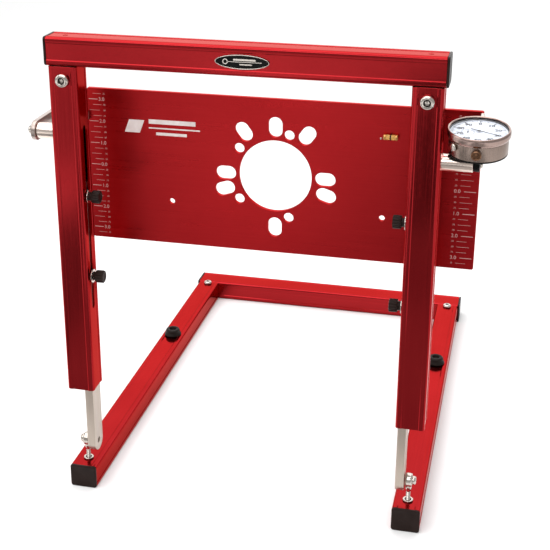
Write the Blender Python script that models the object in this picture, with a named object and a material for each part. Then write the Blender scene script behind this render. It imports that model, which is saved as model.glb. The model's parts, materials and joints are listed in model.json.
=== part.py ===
"""Bump-steer gauge stand: a folding tube frame whose dial indicator reads a plate on a wheel hub.

Metres, +Z up. The origin is on the floor under the middle of the rear crossbar, and -Y is the front.
"""

import math

import bmesh
import bpy
from mathutils import Matrix

INCH = 0.0254
GAP = 0.0003  # between touching pieces
RUN = 0.0004  # round a piece that turns or slides

# Base: two rails joined by a crossbar at the rear
BASE_WIDTH = 16.2 * INCH
RAIL_WIDTH = 1.25 * INCH
RAIL_HEIGHT = 1.12 * INCH
REAR_DEPTH = 1.42 * INCH
BASE_LENGTH = 23.3 * INCH
TUBE_WALL = 0.09 * INCH
TUBE_RADIUS = 0.13 * INCH
CAP_THICKNESS = 0.11 * INCH
PLUG_DEPTH = 0.45 * INCH
RAIL_X = (BASE_WIDTH - RAIL_WIDTH) / 2
FRONT = REAR_DEPTH / 2 - BASE_LENGTH
RAIL_END = -REAR_DEPTH / 2
BUMPER_Y = FRONT + 14.15 * INCH
BUMPER_RADIUS = 0.47 * INCH
BUMPER_HEIGHT = 0.36 * INCH
RAIL_SCREW_Y = RAIL_END - 0.27 * INCH

# Frame: two uprights and a top crossbar
UPRIGHT_WIDTH = 1.24 * INCH
UPRIGHT_DEPTH = 1.2 * INCH
FRAME_WIDTH = 16.1 * INCH
FRAME_Y = FRONT + 0.8 * INCH
UPRIGHT_X = (FRAME_WIDTH - UPRIGHT_WIDTH) / 2
UPRIGHT_BOTTOM = 5.0 * INCH
UPRIGHT_TOP = 19.9 * INCH
INNER_FACE = FRAME_WIDTH / 2 - UPRIGHT_WIDTH
CROSSBAR_HEIGHT = 1.2 * INCH
CROSSBAR_WIDTH = 16.4 * INCH
FRAME_SCREW_Z = UPRIGHT_TOP - 0.57 * INCH
BADGE_WIDTH = 2.2 * INCH
BADGE_HEIGHT = 0.58 * INCH

# Legs: flat bars that slide in the uprights and turn on rod ends
PIVOT_Z = 2.15 * INCH
LEG_WIDTH = 0.95 * INCH
LEG_THICKNESS = 0.375 * INCH
LEG_TOP = 14.75 * INCH
LEG_INNER = INNER_FACE + TUBE_WALL + GAP
LEG_X = LEG_INNER + LEG_THICKNESS / 2
EYE_WIDTH = 0.3 * INCH
EYE_RADIUS = 0.31 * INCH
BOLT_RADIUS = 0.125 * INCH
KNOB_HEIGHTS = {"lower": 10.45 * INCH, "upper": 14.15 * INCH}
KNOB_RADIUS = 0.29 * INCH
KNOB_LOBES = 12
STUD_RADIUS = 0.11 * INCH
SLOT_BOTTOM = 8.9 * INCH
SLOT_TOP = 17.3 * INCH
SLOT_WIDTH = 0.27 * INCH

# Rods that stand out of the uprights
ROD_Z = 16.81 * INCH
CONTACT_Z = ROD_Z + 0.15 * INCH
ROD_RADIUS = 0.345 * INCH
ROD_INNER = LEG_INNER + LEG_THICKNESS + 0.05 * INCH
BAR_INNER = 8.88 * INCH
BAR_THICKNESS = 0.2 * INCH
BAR_WIDTH = 0.86 * INCH
FOOT_END = 7.62 * INCH

# Hub plate
PLATE_X = 0.87 * INCH
PLATE_WIDTH = 17.2 * INCH
PLATE_HEIGHT = 7.0 * INCH
PLATE_THICKNESS = 0.19 * INCH
PLATE_FRONT = FRONT + 3.54 * INCH
PLATE_BOTTOM = 11.2 * INCH
HUB_X = PLATE_X - 0.1 * INCH
HUB_Z = PLATE_BOTTOM + PLATE_HEIGHT / 2 + 0.05 * INCH
HUB_RADIUS = 1.61 * INCH
LUG_WIDTH = 0.62 * INCH
LUG_LENGTH = 0.9 * INCH
LUG_ANGLES = {2.2 * INCH: (0, 90, 180), 2.36 * INCH: (54, 126, 198, 270, 342)}
STUD_HOLE_CIRCLE = 1.97 * INCH
STUD_HOLE_RADIUS = 0.225 * INCH
VIAL_LENGTH = 0.62 * INCH
VIAL_RADIUS = 0.13 * INCH

# Dial indicator, measured from the rod's axis with the face up
DIAL_X = 9.42 * INCH
DIAL_TILT = math.radians(7.5)
DIAL_FORE = 0.1 * INCH
DIAL_STEPS = 48
LUG_HALF = 0.125 * INCH
BACK_LOW = 0.5 * INCH
CASE_LOW = 0.57 * INCH
CASE_TOP = 1.155 * INCH
CASE_RADIUS = 1.16 * INCH
CASE_WALL = 0.07 * INCH
BEZEL_TOP = 1.5 * INCH
BEZEL_RADIUS = 1.23 * INCH
GLASS_RADIUS = 1.15 * INCH
FACE_TOP = 1.32 * INCH
SPINDLE_Z = 0.9 * INCH
SPINDLE_RADIUS = 0.094 * INCH
STEM_RADIUS = 0.187 * INCH
STEM_END = 1.62 * INCH
TIP_RADIUS = 0.1 * INCH

COLOURS = {
    "red_anodised": ((0.42, 0.012, 0.016), 0.32, 0.85),
    "black_plastic": ((0.018, 0.014, 0.013), 0.55, 0.0),
    "black_rubber": ((0.02, 0.018, 0.018), 0.8, 0.0),
    "bare_aluminium": ((0.62, 0.6, 0.57), 0.36, 1.0),
    "bright_steel": ((0.7, 0.69, 0.67), 0.18, 1.0),
    "satin_chrome": ((0.55, 0.49, 0.43), 0.3, 1.0),
    "black_enamel": ((0.012, 0.012, 0.014), 0.3, 0.0),
    "white_face": ((0.86, 0.87, 0.88), 0.5, 0.0),
    "clear_glass": ((0.92, 0.94, 0.95), 0.05, 0.0),
    "amber_vial": ((0.7, 0.42, 0.06), 0.15, 0.0),
}


def clear_scene():
    for obj in list(bpy.data.objects):
        bpy.data.objects.remove(obj, do_unlink=True)


def material(name):
    found = bpy.data.materials.get(name)
    if found:
        return found
    colour, roughness, metallic = COLOURS[name]
    made = bpy.data.materials.new(name)
    made.use_nodes = True
    shader = made.node_tree.nodes["Principled BSDF"]
    shader.inputs["Base Color"].default_value = (*colour, 1)
    shader.inputs["Roughness"].default_value = roughness
    shader.inputs["Metallic"].default_value = metallic
    made.diffuse_color = (*colour, 1)
    return made


# Outlines: closed lists of (u, v) points, counter-clockwise


def arc(centre, radius, first, last, steps):
    turn = (last - first) / steps
    return [
        (centre[0] + radius * math.cos(first + turn * i), centre[1] + radius * math.sin(first + turn * i))
        for i in range(steps + 1)
    ]


def circle(radius, steps=24, centre=(0, 0)):
    return arc(centre, radius, 0, 2 * math.pi, steps)[:-1]


def rounded_box(width, height, radius, steps=3, centre=(0, 0)):
    points = []
    for quarter, (sx, sy) in enumerate(((1, 1), (-1, 1), (-1, -1), (1, -1))):
        corner = (centre[0] + sx * (width / 2 - radius), centre[1] + sy * (height / 2 - radius))
        points += arc(corner, radius, quarter * math.pi / 2, (quarter + 1) * math.pi / 2, steps)
    return points


def stadium(length, width, angle=0.0, centre=(0, 0), steps=7):
    half = (length - width) / 2
    points = arc((half, 0), width / 2, -math.pi / 2, math.pi / 2, steps)
    points += arc((-half, 0), width / 2, math.pi / 2, 3 * math.pi / 2, steps)
    c, s = math.cos(angle), math.sin(angle)
    return [(centre[0] + u * c - v * s, centre[1] + u * s + v * c) for u, v in points]


def fluted(radius, lobes, depth, steps=2):
    count = lobes * steps
    turns = [2 * math.pi * i / count for i in range(count)]
    return [
        ((radius - depth * (1 + math.cos(lobes * a)) / 2) * math.cos(a),
         (radius - depth * (1 + math.cos(lobes * a)) / 2) * math.sin(a))
        for a in turns
    ]


# Solids, built along the X, Y or Z axis


def at(axis, u, v, t):
    return {"X": (t, u, v), "Y": (u, t, v), "Z": (u, v, t)}[axis]


def finished(mesh):
    bmesh.ops.remove_doubles(mesh, verts=mesh.verts, dist=1e-6)
    bmesh.ops.recalc_face_normals(mesh, faces=mesh.faces)
    return mesh


def prism(outlines, low, high, axis="Z"):
    """A straight solid whose section is the first outline less the others."""
    mesh = bmesh.new()
    for outline in outlines:
        ring = [mesh.verts.new(at(axis, u, v, low)) for u, v in outline]
        for first, second in zip(ring, ring[1:] + ring[:1]):
            mesh.edges.new((first, second))
    bmesh.ops.triangle_fill(mesh, use_beauty=True, use_dissolve=False, edges=list(mesh.edges))
    pushed = bmesh.ops.extrude_face_region(mesh, geom=list(mesh.faces), use_keep_orig=True)
    moved = [item for item in pushed["geom"] if isinstance(item, bmesh.types.BMVert)]
    bmesh.ops.translate(mesh, verts=moved, vec=at(axis, 0, 0, high - low))
    return finished(mesh)


def loft(sections, axis="Z"):
    """A solid through (outline, place) sections that have the same number of points."""
    mesh = bmesh.new()
    rings = [[mesh.verts.new(at(axis, u, v, t)) for u, v in outline] for outline, t in sections]
    for low, high in zip(rings, rings[1:]):
        for i in range(len(low)):
            after = (i + 1) % len(low)
            mesh.faces.new((low[i], low[after], high[after], high[i]))
    mesh.faces.new(rings[0])
    mesh.faces.new(rings[-1])
    return finished(mesh)


def lathe(profile, axis="Z", steps=20):
    """A solid turned from a closed profile of (radius, place) points."""
    mesh = bmesh.new()
    rings = []
    for radius, t in profile:
        if radius < 1e-7:
            rings.append([mesh.verts.new(at(axis, 0, 0, t))] * steps)
        else:
            rings.append([mesh.verts.new(at(axis, u, v, t)) for u, v in circle(radius, steps)])
    for low, high in zip(rings, rings[1:] + rings[:1]):
        for i in range(steps):
            after = (i + 1) % steps
            corners = list(dict.fromkeys((low[i], low[after], high[after], high[i])))
            if len(corners) > 2:
                mesh.faces.new(corners)
    return finished(mesh)


def pin(radius, low, high, axis="Z", steps=20, chamfer=0.0):
    """A round bar with chamfered ends."""
    if not chamfer:
        return lathe([(0, low), (radius, low), (radius, high), (0, high)], axis, steps)
    inset = radius - chamfer
    profile = [(0, low), (inset, low), (radius, low + chamfer)]
    profile += [(radius, high - chamfer), (inset, high), (0, high)]
    return lathe(profile, axis, steps)


def solid(name, mesh, finish, place=(0, 0, 0), parent=None):
    data = bpy.data.meshes.new(name)
    mesh.to_mesh(data)
    mesh.free()
    obj = bpy.data.objects.new(name, data)
    bpy.context.scene.collection.objects.link(obj)
    obj.location = place
    obj.parent = parent
    if finish:
        data.materials.append(material(finish))
    return obj


def cut(obj, mesh, place=None):
    """Takes a hidden cutter, given in the object's own coordinates, out of it."""
    tool = solid(f"{obj.name}_cutter", mesh, None, place or obj.location, obj.parent)
    tool.hide_render = True
    tool.display_type = "WIRE"
    taken = obj.modifiers.new("cut", "BOOLEAN")
    taken.object = tool
    taken.operation = "DIFFERENCE"
    taken.solver = "EXACT"


def empty(name, place, parent=None, tilt=0.0):
    obj = bpy.data.objects.new(name, None)
    bpy.context.scene.collection.objects.link(obj)
    obj.location = place
    obj.rotation_euler = (tilt, 0, 0)
    obj.parent = parent
    return obj


def tube(width, height, low, high, axis):
    outer = rounded_box(width, height, TUBE_RADIUS)
    inner = rounded_box(width - 2 * TUBE_WALL, height - 2 * TUBE_WALL, TUBE_RADIUS - TUBE_WALL)
    return prism([outer, inner], low, high, axis)


def end_cap(width, height, face, out, axis):
    """A moulded cap whose flange covers a tube's end and whose plug fills its mouth."""
    edge = 0.03 * INCH
    slack = 2 * (TUBE_WALL + GAP)
    plug = rounded_box(width - slack, height - slack, TUBE_RADIUS - TUBE_WALL)
    full = rounded_box(width, height, TUBE_RADIUS)
    lip = rounded_box(width - 2 * edge, height - 2 * edge, TUBE_RADIUS - edge)
    sections = [
        (plug, face - out * PLUG_DEPTH),
        (plug, face + out * GAP),
        (full, face + out * GAP),
        (full, face + out * (CAP_THICKNESS - edge)),
        (lip, face + out * CAP_THICKNESS),
    ]
    return loft(sections, axis)


def button_screw(radius, height, shank, length, steps=16):
    """A domed socket screw along +Z: its head stands above zero and its shank goes below."""
    dome = [(radius, 0), (radius * 0.98, height * 0.35), (radius * 0.82, height * 0.75)]
    dome.append((radius * 0.55, height))
    return lathe([(0, -length), (shank, -length), (shank, 0), *dome, (0, height)], "Z", steps)


def hex_socket(radius, height):
    return prism([circle(radius * 0.42, 6)], height * 0.25, height * 2)


# Sub-parts


def build_base(side, sign):
    x = sign * RAIL_X
    cap_face = FRONT + CAP_THICKNESS
    middle = RAIL_HEIGHT / 2
    rail = solid(
        f"base_rail_{side}",
        tube(RAIL_WIDTH, RAIL_HEIGHT, cap_face, RAIL_END - GAP, "Y"),
        "red_anodised",
        (x, 0, middle),
    )
    insert_radius = 0.2 * INCH
    screw_radius = 0.12 * INCH
    for radius, y in ((insert_radius + GAP, FRAME_Y), (screw_radius + GAP, RAIL_SCREW_Y)):
        cut(rail, prism([circle(radius, 20, (0, y))], middle - 2 * TUBE_WALL, middle + TUBE_WALL))
    solid(
        f"rail_cap_{side}",
        end_cap(RAIL_WIDTH, RAIL_HEIGHT, cap_face, -1, "Y"),
        "black_plastic",
        (x, 0, middle),
    )
    block_width = RAIL_WIDTH - 2 * (TUBE_WALL + GAP)
    block_height = RAIL_HEIGHT - 2 * (TUBE_WALL + GAP)
    block = solid(
        f"rail_block_{side}",
        prism([rounded_box(block_width, block_height, TUBE_RADIUS - TUBE_WALL)], -1.3 * INCH, -2 * GAP, "Y"),
        "bare_aluminium",
        (x, RAIL_END, middle),
    )
    cut(block, prism([circle(screw_radius + GAP, 16, (0, RAIL_SCREW_Y - RAIL_END))], -middle, middle))
    build_screw(
        f"rail_screw_{side}",
        (x, RAIL_SCREW_Y, RAIL_HEIGHT + GAP),
        head=0.24 * INCH,
        height=0.13 * INCH,
        shank=screw_radius,
        length=0.7 * INCH,
    )
    foot = BUMPER_RADIUS
    top = BUMPER_RADIUS * 0.8
    high = BUMPER_HEIGHT
    dish = [(top * 0.55, high), (top * 0.45, high * 0.55), (0, high * 0.55)]
    profile = [(0, 0), (foot, 0), (foot, high * 0.15), (top + 0.02 * INCH, high * 0.88), (top, high), *dish]
    solid(f"bumper_{side}", lathe(profile), "black_rubber", (x, BUMPER_Y, RAIL_HEIGHT + GAP))
    build_pivot(side, sign, insert_radius)


def build_screw(name, place, head, height, shank, length, parent=None, turn=(0, 0, 0)):
    screw = solid(name, button_screw(head, height, shank, length), "bright_steel", place, parent)
    screw.rotation_euler = turn
    cut(screw, hex_socket(head, height))
    bpy.data.objects[f"{name}_cutter"].rotation_euler = turn


def build_pivot(side, sign, insert_radius):
    x = sign * RAIL_X
    stem = 0.095 * INCH
    bore = 0.14 * INCH
    flange = 0.23 * INCH
    lift = 0.06 * INCH
    ring = [(bore, -TUBE_WALL), (insert_radius, -TUBE_WALL), (insert_radius, GAP), (flange, GAP)]
    ring += [(flange, lift * 0.6), (flange - lift * 0.4, lift), (bore, lift)]
    solid(f"pivot_insert_{side}", lathe(ring), "bright_steel", (x, FRAME_Y, RAIL_HEIGHT))
    rise = PIVOT_Z - RAIL_HEIGHT
    half = EYE_WIDTH / 2
    eye_profile = [(BOLT_RADIUS + GAP, -half), (EYE_RADIUS * 0.86, -half), (EYE_RADIUS, -half * 0.55)]
    eye_profile += [(EYE_RADIUS, half * 0.55), (EYE_RADIUS * 0.86, half), (BOLT_RADIUS + GAP, half)]
    eye = solid(f"rod_end_{side}", lathe(eye_profile, "X"), "bright_steel", (x, FRAME_Y, PIVOT_Z))
    shaft = solid(
        f"rod_end_{side}_stem",
        pin(stem, -rise - 0.35 * INCH, -(EYE_RADIUS + BOLT_RADIUS) / 2, "Z", 16),
        None,
        (x, FRAME_Y, PIVOT_Z),
    )
    shaft.hide_render = True
    shaft.display_type = "WIRE"
    joined = eye.modifiers.new("stem", "BOOLEAN")
    joined.object = shaft
    joined.operation = "UNION"
    joined.solver = "EXACT"
    inner = LEG_INNER - RAIL_X
    outer = half + GAP
    head = 0.2 * INCH
    tall = 0.15 * INCH
    reach = outer - inner
    screw = button_screw(head, tall, BOLT_RADIUS, reach)
    bolt = solid(f"pivot_bolt_{side}", screw, "bright_steel", (x + sign * outer, FRAME_Y, PIVOT_Z))
    bolt.rotation_euler = (0, sign * math.pi / 2, 0)
    cut(bolt, hex_socket(head, tall))
    bpy.data.objects[f"{bolt.name}_cutter"].rotation_euler = bolt.rotation_euler


def build_rear_crossbar():
    half = BASE_WIDTH / 2
    bar = tube(REAR_DEPTH, RAIL_HEIGHT, -half, half, "X")
    solid("rear_crossbar", bar, "red_anodised", (0, 0, RAIL_HEIGHT / 2))
    for side, sign in SIDES:
        cap = end_cap(REAR_DEPTH, RAIL_HEIGHT, sign * half, sign, "X")
        solid(f"rear_cap_{side}", cap, "black_plastic", (0, 0, RAIL_HEIGHT / 2))


def build_leg(side, sign, legs):
    """The bar's origin is on its pivot, and its lower end is round about it."""
    half = LEG_WIDTH / 2
    top = LEG_TOP - PIVOT_Z
    outline = arc((0, 0), half, math.pi, 2 * math.pi, 14) + [(half, top), (-half, top)]
    holes = [circle(BOLT_RADIUS + RUN, 20)]
    holes += [circle(STUD_RADIUS + RUN, 12, (0, z - PIVOT_Z)) for z in KNOB_HEIGHTS.values()]
    bar = prism([outline, *holes], -LEG_THICKNESS / 2, LEG_THICKNESS / 2, "X")
    solid(f"leg_{side}", bar, "bare_aluminium", (sign * LEG_X, 0, 0), legs)


def build_knobs(side, sign, legs):
    washer = 0.06 * INCH
    shoulder = washer + 0.14 * INCH
    end = washer + 0.5 * INCH
    chamfer = 0.04 * INCH
    for level, z in KNOB_HEIGHTS.items():
        place = (sign * INNER_FACE, 0, z - PIVOT_Z)
        ring = prism([circle(0.3 * INCH, 20), circle(STUD_RADIUS + GAP, 20)], -washer, -GAP, "X")
        knob = fluted(KNOB_RADIUS, KNOB_LOBES, 0.035 * INCH)
        inset = fluted(KNOB_RADIUS - chamfer, KNOB_LOBES, 0.025 * INCH)
        neck = circle(KNOB_RADIUS * 0.68, len(knob))
        stud = circle(STUD_RADIUS, len(knob))
        reach = TUBE_WALL + GAP + LEG_THICKNESS * 0.8
        sections = [(stud, reach), (stud, -washer - GAP), (neck, -washer - GAP), (neck, -shoulder)]
        sections += [(inset, -shoulder), (knob, -shoulder - chamfer), (knob, chamfer - end), (inset, -end)]
        if sign < 0:
            sections = [(outline, -t) for outline, t in sections]
            ring.transform(Matrix.Rotation(math.pi, 4, "Z"))
        solid(f"knob_washer_{side}_{level}", ring, "bright_steel", place, legs)
        solid(f"thumb_knob_{side}_{level}", loft(sections, "X"), "black_plastic", place, legs)


def build_upright(side, sign, frame):
    post = solid(
        f"upright_{side}",
        tube(UPRIGHT_WIDTH, UPRIGHT_DEPTH, UPRIGHT_BOTTOM, UPRIGHT_TOP - GAP, "Z"),
        "red_anodised",
        (sign * UPRIGHT_X, 0, 0),
        frame,
    )
    wall = UPRIGHT_WIDTH / 2
    slot = stadium(SLOT_TOP - SLOT_BOTTOM, SLOT_WIDTH, math.pi / 2, (0, (SLOT_TOP + SLOT_BOTTOM) / 2))
    cut(post, prism([slot], *sorted((-sign * wall * 0.6, -sign * wall * 1.2)), "X"))
    hole = circle(ROD_RADIUS + GAP, 24, (0, CONTACT_Z if sign < 0 else ROD_Z))
    cut(post, prism([hole], *sorted((sign * wall * 0.6, sign * wall * 1.2)), "X"))
    shank = 0.14 * INCH
    front = UPRIGHT_DEPTH / 2
    cut(post, prism([circle(shank + GAP, 16, (0, FRAME_SCREW_Z))], -front * 1.2, -front * 0.6, "Y"))
    slack = 2 * (TUBE_WALL + GAP)
    outline = rounded_box(UPRIGHT_WIDTH - slack, UPRIGHT_DEPTH - slack, TUBE_RADIUS - TUBE_WALL)
    block = solid(
        f"corner_block_{side}",
        prism([outline], UPRIGHT_TOP - 1.2 * INCH, UPRIGHT_TOP - GAP),
        "bare_aluminium",
        (sign * UPRIGHT_X, 0, 0),
        frame,
    )
    depth = 0.35 * INCH
    cut(block, prism([circle(shank + GAP, 16, (0, FRAME_SCREW_Z))], -front, 2 * GAP + depth - front, "Y"))
    thin = 0.08 * INCH
    cut(block, prism([circle(thin + GAP, 16)], UPRIGHT_TOP - 0.38 * INCH, UPRIGHT_TOP + GAP))
    build_screw(
        f"frame_screw_{side}",
        (sign * UPRIGHT_X, -front - GAP, FRAME_SCREW_Z),
        head=0.3 * INCH,
        height=0.17 * INCH,
        shank=shank,
        length=depth,
        parent=frame,
        turn=(math.pi / 2, 0, 0),
    )
    head = 0.11 * INCH
    top = UPRIGHT_TOP + CROSSBAR_HEIGHT
    profile = [(0, UPRIGHT_TOP - 0.36 * INCH), (thin, UPRIGHT_TOP - 0.36 * INCH), (thin, top - 0.04 * INCH)]
    profile += [(head, top - GAP), (0, top - GAP)]
    solid(f"crossbar_screw_{side}", lathe(profile, "Z", 16), "red_anodised", (sign * UPRIGHT_X, 0, 0), frame)


def build_top_crossbar(frame):
    half = CROSSBAR_WIDTH / 2 - CAP_THICKNESS
    middle = UPRIGHT_TOP + CROSSBAR_HEIGHT / 2
    bar = solid(
        "top_crossbar",
        tube(UPRIGHT_DEPTH, CROSSBAR_HEIGHT, -half, half, "X"),
        "red_anodised",
        (0, 0, middle),
        frame,
    )
    for side, sign in SIDES:
        cap = end_cap(UPRIGHT_DEPTH, CROSSBAR_HEIGHT, sign * half, sign, "X")
        solid(f"crossbar_cap_{side}", cap, "black_plastic", (0, 0, middle), frame)
        top = CROSSBAR_HEIGHT / 2
        thin = 0.08 * INCH + GAP
        cone = [(0, -top * 1.2), (thin, -top * 1.2), (thin, top - 0.04 * INCH - GAP)]
        cone += [(0.11 * INCH + GAP, top - GAP), (0.11 * INCH + GAP, top + GAP), (0, top + GAP)]
        hole = lathe(cone, "Z", 16)
        bmesh.ops.translate(hole, verts=hole.verts, vec=(sign * UPRIGHT_X, 0, 0))
        cut(bar, hole)
    rim = 0.02 * INCH
    thick = 0.05 * INCH
    oval = [(u * BADGE_WIDTH / 2, v * BADGE_HEIGHT / 2) for u, v in circle(1, 40)]
    small = [(u * (1 - 2 * rim / BADGE_WIDTH), v * (1 - 2 * rim / BADGE_HEIGHT)) for u, v in oval]
    badge = loft([(oval, -GAP), (oval, -thick + rim), (small, -thick)], "Y")
    solid("badge", badge, "black_enamel", (0.15 * INCH, -UPRIGHT_DEPTH / 2, middle), frame)


def build_contact(frame):
    """The fixed contact on the left: a rod, and a flat bar that turns in behind the upright to the plate."""
    screw_hole = 0.1 * INCH
    rod = solid(
        "contact_rod",
        pin(ROD_RADIUS, -BAR_INNER + GAP, -ROD_INNER, "X", 24, 0.03 * INCH),
        "bright_steel",
        (0, 0, CONTACT_Z),
        frame,
    )
    cut(rod, pin(screw_hole + GAP, -BAR_INNER - GAP, -BAR_INNER + 0.5 * INCH, "X", 16))
    outer = -BAR_INNER - BAR_THICKNESS
    reach = PLATE_FRONT - FRAME_Y - GAP
    half = BAR_WIDTH / 2
    side = arc((0, 0), half, math.pi / 2, 3 * math.pi / 2, 12) + [(reach, -half), (reach, half)]
    bar_mesh = prism([side, circle(screw_hole + GAP, 16)], outer, -BAR_INNER, "X")
    solid("contact_bar", bar_mesh, "bare_aluminium", (0, 0, CONTACT_Z), frame)
    foot_height = 0.5 * BAR_WIDTH
    foot_outline = rounded_box(BAR_INNER - FOOT_END - GAP, foot_height, 0.1 * INCH)
    foot = prism([foot_outline], reach - BAR_THICKNESS, reach, "Y")
    middle = -(BAR_INNER + FOOT_END) / 2 + GAP / 2
    solid("contact_foot", foot, "bare_aluminium", (middle, 0, CONTACT_Z), frame)
    build_screw(
        "contact_screw",
        (outer - GAP, 0, CONTACT_Z),
        head=0.2 * INCH,
        height=0.22 * INCH,
        shank=screw_hole,
        length=0.6 * INCH,
        parent=frame,
        turn=(0, -math.pi / 2, 0),
    )


def build_plate():
    low = PLATE_BOTTOM - HUB_Z
    centre = (PLATE_X - HUB_X, low + PLATE_HEIGHT / 2)
    outlines = [rounded_box(PLATE_WIDTH, PLATE_HEIGHT, 0.08 * INCH, 2, centre), circle(HUB_RADIUS, 48)]
    for distance, angles in LUG_ANGLES.items():
        for angle in map(math.radians, angles):
            spot = (distance * math.cos(angle), distance * math.sin(angle))
            outlines.append(stadium(LUG_LENGTH, LUG_WIDTH, angle, spot))
    for angle in map(math.radians, (72, 144, 216, 288)):
        spot = (STUD_HOLE_CIRCLE * math.cos(angle), STUD_HOLE_CIRCLE * math.sin(angle))
        outlines.append(circle(STUD_HOLE_RADIUS, 16, spot))
    for sign in (-1, 1):
        outlines.append(circle(0.13 * INCH, 12, (sign * 4.7 * INCH, -1.54 * INCH)))
    plate = prism(outlines, 0, PLATE_THICKNESS, "Y")
    solid("hub_plate", plate, "red_anodised", (HUB_X, PLATE_FRONT, HUB_Z))
    half = VIAL_LENGTH / 2
    cap = 0.08 * INCH
    thin = VIAL_RADIUS - 0.015 * INCH
    profile = [(0, -half), (VIAL_RADIUS, -half), (VIAL_RADIUS, cap - half), (thin, cap - half)]
    profile += [(thin, half - cap), (VIAL_RADIUS, half - cap), (VIAL_RADIUS, half), (0, half)]
    place = (HUB_X + 4.95 * INCH, PLATE_FRONT - VIAL_RADIUS - GAP, HUB_Z + 2.14 * INCH)
    solid("level_vial", lathe(profile, "X", 16), "amber_vial", place)


def build_dial(frame):
    rod_end = DIAL_X - LUG_HALF - GAP
    hole = 0.1 * INCH
    rod = solid(
        "dial_rod",
        pin(ROD_RADIUS, ROD_INNER, rod_end, "X", 24, 0.03 * INCH),
        "bright_steel",
        (0, 0, ROD_Z),
        frame,
    )
    cut(rod, pin(hole + GAP, rod_end - 0.5 * INCH, rod_end + GAP, "X", 16))
    dial = empty("dial_mount", (DIAL_X, 0, ROD_Z), frame, DIAL_TILT)
    head = 0.15 * INCH
    build_screw(
        "lug_screw",
        (LUG_HALF + GAP, 0, 0),
        head=head,
        height=0.1 * INCH,
        shank=hole,
        length=0.6 * INCH,
        parent=dial,
        turn=(0, math.pi / 2, 0),
    )
    build_back(dial, hole)
    build_case(dial)
    build_spindle(dial)
    build_face(dial)


def build_back(dial, hole):
    """A round back cover with the lug under it, as one piece."""
    top = CASE_LOW - GAP
    cover = [(0, BACK_LOW), (CASE_RADIUS - 0.06 * INCH, BACK_LOW), (CASE_RADIUS, top), (0, top)]
    back = solid("dial_back", lathe(cover, "Z", DIAL_STEPS), "black_enamel", (0, DIAL_FORE, 0), dial)
    half = 0.3 * INCH
    root = BACK_LOW * 1.06
    outline = arc((0, 0), half, math.pi, 2 * math.pi, 12) + [(half, root), (-half, root)]
    lug = solid("dial_back_lug", prism([outline], -LUG_HALF, LUG_HALF, "X"), None, (0, 0, 0), dial)
    lug.hide_render = True
    lug.display_type = "WIRE"
    joined = back.modifiers.new("lug", "BOOLEAN")
    joined.object = lug
    joined.operation = "UNION"
    joined.solver = "EXACT"
    cut(back, pin(hole + GAP, -LUG_HALF * 1.2, LUG_HALF * 1.2, "X", 20), (0, 0, 0))


def build_case(dial):
    inside = CASE_RADIUS - CASE_WALL
    case = solid(
        "dial_case",
        prism([circle(CASE_RADIUS, DIAL_STEPS), circle(inside, DIAL_STEPS)], CASE_LOW, CASE_TOP),
        "satin_chrome",
        (0, DIAL_FORE, 0),
        dial,
    )
    beyond = CASE_RADIUS * 1.1
    spigot = 0.15 * INCH
    cut(case, prism([circle(STEM_RADIUS + GAP, 20, (0, SPINDLE_Z))], inside * 0.8, beyond, "Y"))
    cut(case, prism([circle(spigot + GAP, 20, (0, SPINDLE_Z))], -beyond, -inside * 0.8, "Y"))
    stem_length = STEM_END - DIAL_FORE - inside
    stem = prism([circle(STEM_RADIUS, 20), circle(SPINDLE_RADIUS + RUN, 20)], 0, stem_length, "Y")
    solid("dial_stem", stem, "satin_chrome", (0, DIAL_FORE + inside, SPINDLE_Z), dial)
    cap_radius = 0.2 * INCH
    face = -CASE_RADIUS - 0.012 * INCH
    cap = [(0, face - 0.17 * INCH), (cap_radius * 0.8, face - 0.17 * INCH), (cap_radius, face - 0.12 * INCH)]
    cap += [(cap_radius, face), (spigot, face), (spigot, -inside), (0, -inside)]
    solid("dust_cap", lathe(cap, "Y"), "bright_steel", (0, DIAL_FORE, SPINDLE_Z), dial)
    clamp = solid(
        "bezel_clamp",
        pin(0.165 * INCH, CASE_RADIUS + GAP, CASE_RADIUS + 0.12 * INCH, "X", 20, 0.04 * INCH),
        "bright_steel",
        (0, DIAL_FORE, CASE_TOP - 0.17 * INCH),
        dial,
    )
    clamp.rotation_euler = (0, 0, math.radians(222))


def build_spindle(dial):
    """The sprung spindle, its origin at its tip's centre."""
    lean = math.cos(DIAL_TILT)
    reach = PLATE_FRONT - FRAME_Y - GAP - TIP_RADIUS
    tip = (reach + SPINDLE_Z * math.sin(DIAL_TILT)) / lean
    dome = [(v, u) for u, v in arc((0, 0), TIP_RADIUS, 0, math.pi / 2, 5)]
    collar = -0.09 * INCH
    inner = DIAL_FORE - tip
    profile = [*dome, (TIP_RADIUS, collar), (SPINDLE_RADIUS, collar - 0.02 * INCH)]
    profile += [(SPINDLE_RADIUS, inner), (0, inner)]
    solid("spindle", lathe(profile, "Y", 16), "bright_steel", (0, tip, SPINDLE_Z), dial)


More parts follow.
